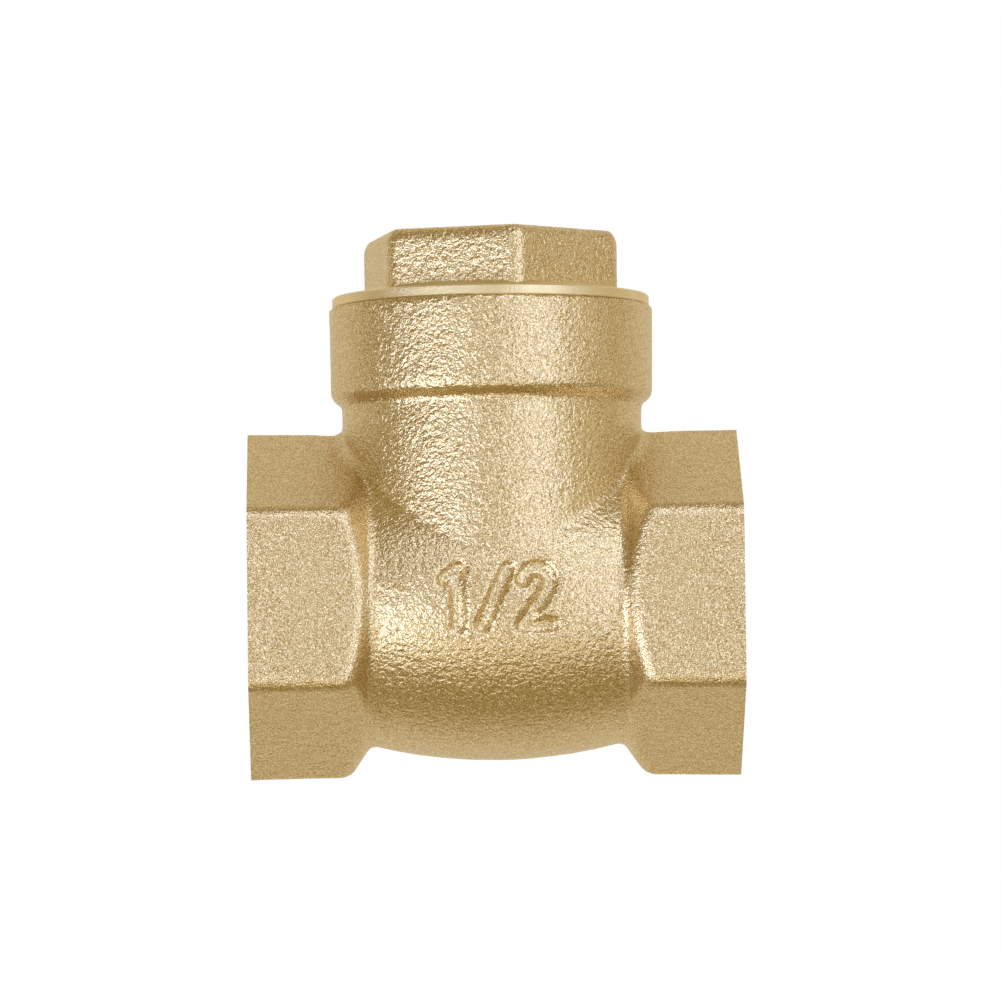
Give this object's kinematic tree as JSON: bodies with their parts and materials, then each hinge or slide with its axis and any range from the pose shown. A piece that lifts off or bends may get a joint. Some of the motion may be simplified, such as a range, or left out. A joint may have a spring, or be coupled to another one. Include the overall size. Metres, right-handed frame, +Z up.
{
  "type": "check valve",
  "caption": "Swing check valve: barrel body with internally threaded hexagon ends, a screwed hexagon cap on its neck, and a hinged rubber-faced disc that opens with the flow.",
  "frame": {"origin": "centre of the inlet port, on the flow axis, in the plane of the inlet's end face", "axes": "+X along the flow from inlet to outlet, +Z up along the neck to the cap, and the hinge pin along Y"},
  "size_m": [0.0438, 0.029, 0.0488],
  "materials": {
    "forged_brass": "sand-blasted forging, with machined end faces and bores",
    "cap_brass": "sand-blasted hexagon on a turned flange and stem",
    "turned_brass": "bright turned",
    "stainless_steel": "bright turned",
    "black_rubber": "moulded, matt",
    "white_ptfe": "waxy"
  },
  "bodies": {
    "valve": {"valve_body": "forged_brass", "hinge_pin": "stainless_steel"},
    "gasket": {"cap_gasket": "white_ptfe"},
    "cap": {"bonnet_cap": "cap_brass"},
    "arm": {"hinge_arm": "turned_brass"},
    "disc": {"disc_holder": "turned_brass", "seal_disc": "black_rubber", "seal_washer": "stainless_steel", "disc_bolt": "stainless_steel", "lock_washer": "stainless_steel", "disc_nut": "stainless_steel"}
  },
  "joints": [
    {"name": "clapper_swing", "type": "hinge", "parent": "valve", "child": "arm", "pos_m": [0.01709, 0, 0.01158], "axis": [0, -1, 0], "range_deg": [0, 58]},
    {"name": "disc_spin", "type": "hinge", "parent": "arm", "child": "disc", "pos_m": [0.0169, 0, 0], "axis": [0.9945, 0, 0.1045], "continuous": true},
    {"name": "cap_lift", "type": "slide", "parent": "valve", "child": "gasket", "axis": [0, 0, 1], "range_m": [0, 0.0068]},
    {"name": "cap_turn", "type": "hinge", "parent": "gasket", "child": "cap", "pos_m": [0.0219, 0, 0.0266], "axis": [0, 0, 1], "range_deg": [0, 1620]}
  ],
  "couplings": [
    {"joint": "cap_lift", "follows": "cap_turn", "m_per_rad": 0.00023873}
  ]
}
